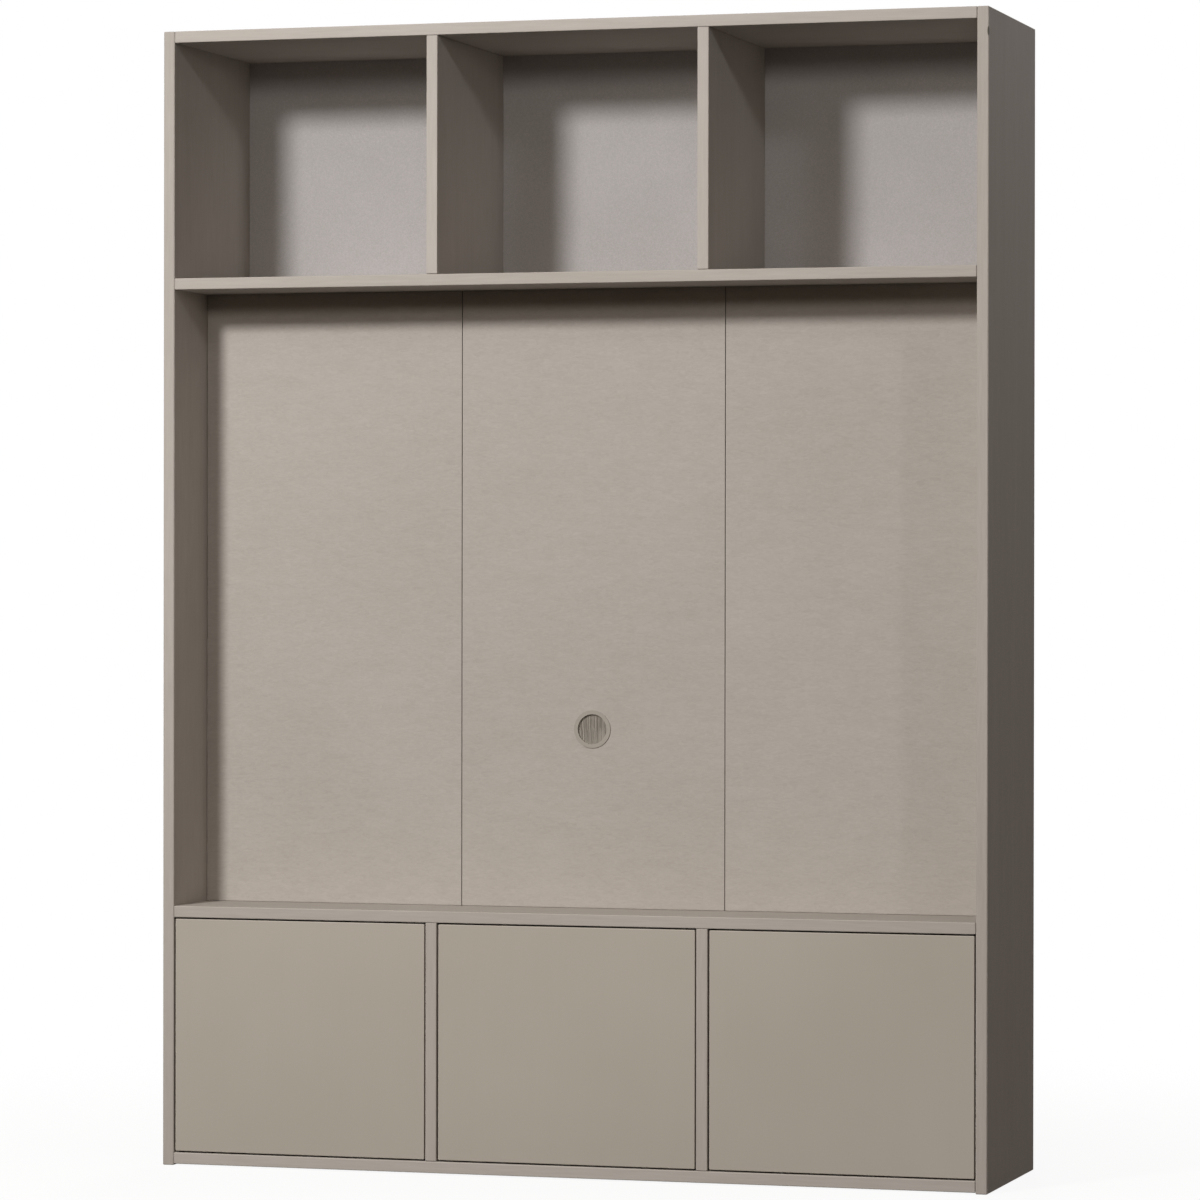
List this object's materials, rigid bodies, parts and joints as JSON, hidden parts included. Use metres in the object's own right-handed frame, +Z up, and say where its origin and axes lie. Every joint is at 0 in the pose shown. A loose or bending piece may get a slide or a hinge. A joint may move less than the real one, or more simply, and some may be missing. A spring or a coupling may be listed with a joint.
{
  "type": "tv cabinet",
  "caption": "Tall shallow wall cabinet with open bays above, a wide niche for a screen and cupboards with push-to-open doors below.",
  "frame": {"origin": "on the floor, under the middle of the cabinet's width and depth", "axes": "+X to the right seen from the front, +Y from the front to the back, +Z up; the front faces -Y"},
  "size_m": [1.56, 0.4, 2.1],
  "materials": {
    "lacquered_board": "matt greige lacquer over fine straight grain",
    "lacquered_door": "smooth matt greige lacquer",
    "rear_panel": "painted thin fibreboard, finely mottled",
    "nickel": "nickel-plated pressed steel",
    "zinc": "zinc-plated steel",
    "grey_plastic": "warm grey moulded plastic",
    "dark_plastic": "dark grey moulded plastic"
  },
  "bodies": {
    "cabinet": {"side_left": "lacquered_board", "side_right": "lacquered_board", "top_board": "lacquered_board", "upper_shelf": "lacquered_board", "niche_shelf": "lacquered_board", "bottom_board": "lacquered_board", "upper_divider_left": "lacquered_board", "upper_divider_right": "lacquered_board", "lower_divider_left": "lacquered_board", "lower_divider_right": "lacquered_board", "niche_back_left": "lacquered_board", "niche_back_middle": "lacquered_board", "niche_back_right": "lacquered_board", "niche_upright_left": "lacquered_board", "niche_upright_right": "lacquered_board", "niche_cleat_left": "lacquered_board", "niche_cleat_right": "lacquered_board", "upper_rear_panel": "rear_panel", "lower_rear_panel": "rear_panel", "cable_grommet": "grey_plastic", "hinge_arm_left_upper": "nickel", "hinge_arm_left_lower": "nickel", "hinge_arm_middle_upper": "nickel", "hinge_arm_middle_lower": "nickel", "hinge_arm_right_upper": "nickel", "hinge_arm_right_lower": "nickel", "latch_housing_left": "grey_plastic", "latch_housing_middle": "grey_plastic", "latch_housing_right": "grey_plastic", "glide_left_front": "dark_plastic", "glide_left_rear": "dark_plastic", "glide_right_front": "dark_plastic", "glide_right_rear": "dark_plastic", "wall_bracket_left": "zinc", "wall_bracket_right": "zinc"},
    "hinge_links_left": {"hinge_link_left_upper": "zinc", "hinge_link_left_lower": "zinc"},
    "hinge_links_middle": {"hinge_link_middle_upper": "zinc", "hinge_link_middle_lower": "zinc"},
    "hinge_links_right": {"hinge_link_right_upper": "zinc", "hinge_link_right_lower": "zinc"},
    "left_door": {"door_left": "lacquered_door", "hinge_cup_left_upper": "nickel", "hinge_cup_left_lower": "nickel", "latch_strike_left": "zinc"},
    "middle_door": {"door_middle": "lacquered_door", "hinge_cup_middle_upper": "nickel", "hinge_cup_middle_lower": "nickel", "latch_strike_middle": "zinc"},
    "right_door": {"door_right": "lacquered_door", "hinge_cup_right_upper": "nickel", "hinge_cup_right_lower": "nickel", "latch_strike_right": "zinc"},
    "left_plunger": {"latch_plunger_left": "dark_plastic"},
    "middle_plunger": {"latch_plunger_middle": "dark_plastic"},
    "right_plunger": {"latch_plunger_right": "dark_plastic"}
  },
  "joints": [
    {"name": "left_door_push", "type": "hinge", "parent": "cabinet", "child": "hinge_links_left", "pos_m": [-0.739, -0.171, 0.2415], "axis": [0, 0, -1], "range_deg": [-0.4, 0], "stiffness_Nm_per_rad": 120},
    {"name": "left_door_swing", "type": "hinge", "parent": "hinge_links_left", "child": "left_door", "pos_m": [-0.7575, -0.198, 0.2415], "axis": [0, 0, -1], "range_deg": [0, 105]},
    {"name": "left_plunger_travel", "type": "slide", "parent": "cabinet", "child": "left_plunger", "axis": [0, 1, 0], "range_m": [0, 0.003], "stiffness_N_per_m": 600},
    {"name": "middle_door_push", "type": "hinge", "parent": "cabinet", "child": "hinge_links_middle", "pos_m": [-0.226, -0.171, 0.2415], "axis": [0, 0, -1], "range_deg": [-0.4, 0], "stiffness_Nm_per_rad": 120},
    {"name": "middle_door_swing", "type": "hinge", "parent": "hinge_links_middle", "child": "middle_door", "pos_m": [-0.2445, -0.198, 0.2415], "axis": [0, 0, -1], "range_deg": [0, 105]},
    {"name": "middle_plunger_travel", "type": "slide", "parent": "cabinet", "child": "middle_plunger", "axis": [0, 1, 0], "range_m": [0, 0.003], "stiffness_N_per_m": 600},
    {"name": "right_door_push", "type": "hinge", "parent": "cabinet", "child": "hinge_links_right", "pos_m": [0.739, -0.171, 0.2415], "axis": [0, 0, 1], "range_deg": [-0.4, 0], "stiffness_Nm_per_rad": 120},
    {"name": "right_door_swing", "type": "hinge", "parent": "hinge_links_right", "child": "right_door", "pos_m": [0.7575, -0.198, 0.2415], "axis": [0, 0, 1], "range_deg": [0, 105]},
    {"name": "right_plunger_travel", "type": "slide", "parent": "cabinet", "child": "right_plunger", "axis": [0, 1, 0], "range_m": [0, 0.003], "stiffness_N_per_m": 600}
  ],
  "couplings": [
    {"joint": "left_plunger_travel", "follows": "left_door_push", "m_per_rad": -0.427},
    {"joint": "middle_plunger_travel", "follows": "middle_door_push", "m_per_rad": -0.427},
    {"joint": "right_plunger_travel", "follows": "right_door_push", "m_per_rad": -0.427}
  ]
}
